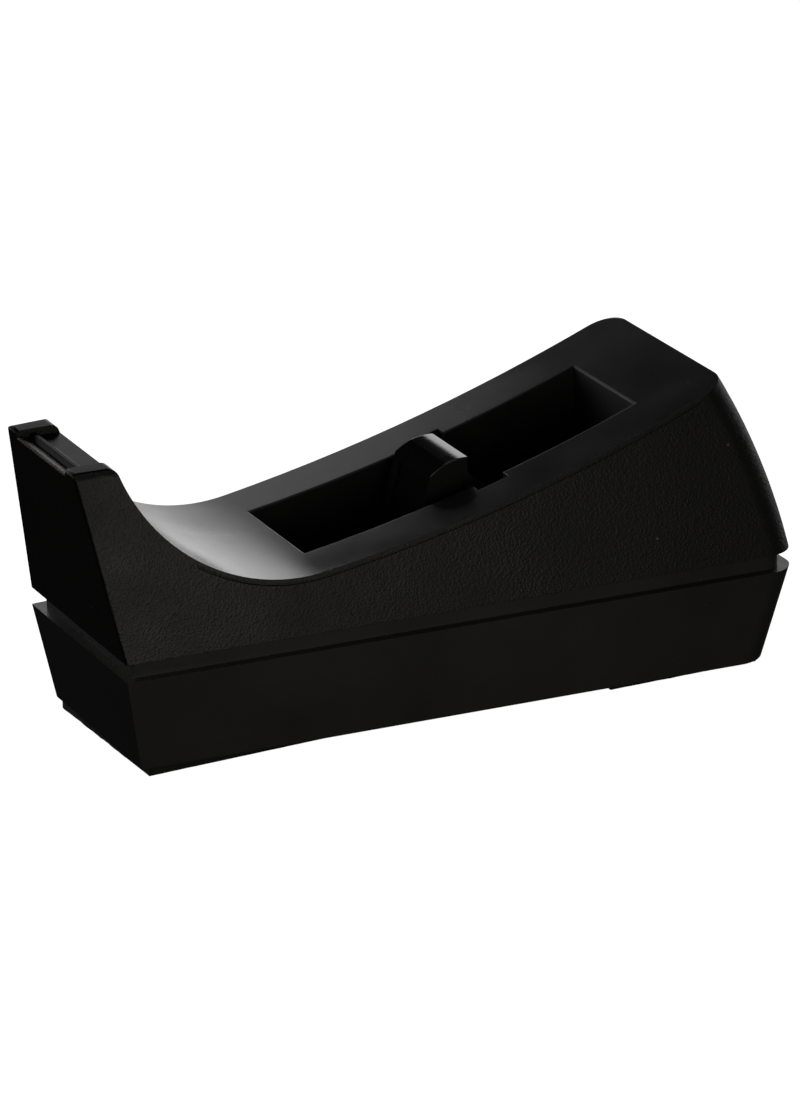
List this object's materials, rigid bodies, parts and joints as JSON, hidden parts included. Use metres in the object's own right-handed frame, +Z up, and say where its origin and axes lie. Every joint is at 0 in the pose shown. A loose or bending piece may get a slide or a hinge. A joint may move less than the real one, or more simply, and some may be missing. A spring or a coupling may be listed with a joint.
{
  "type": "desktop tape dispenser",
  "caption": "Weighted desktop tape dispenser: saddle-shaped black housing on a tapered tray, open tape well, lift-out core hub, serrated cutter at the raised nose.",
  "frame": {"origin": "on the table, under the middle of the overall length and width", "axes": "+X along the length from the cutter nose to the rear, +Y across, +Z up"},
  "size_m": [0.1582, 0.0726, 0.067],
  "materials": {
    "shell": "fine spark-eroded grain on the sides, satin on the saddle",
    "tray": "fine grain",
    "sand": "loose, packed",
    "plug": "satin",
    "screw_steel": "zinc plated",
    "foam": "closed-cell foam, cut edges",
    "blade_steel": "bright strip",
    "hub": "gloss"
  },
  "bodies": {
    "housing": {"upper_shell": "shell", "base_tray": "tray", "sand_ballast": "sand", "fill_plug": "plug", "case_screws": "screw_steel", "front_foam_pad": "foam", "rear_foam_pad": "foam", "cutter_blade": "blade_steel"},
    "hub": {"core_hub": "hub"}
  },
  "joints": [
    {"name": "hub_lift", "type": "slide", "parent": "housing", "child": "hub", "axis": [0, 0, 1], "range_m": [0, 0.04]}
  ]
}
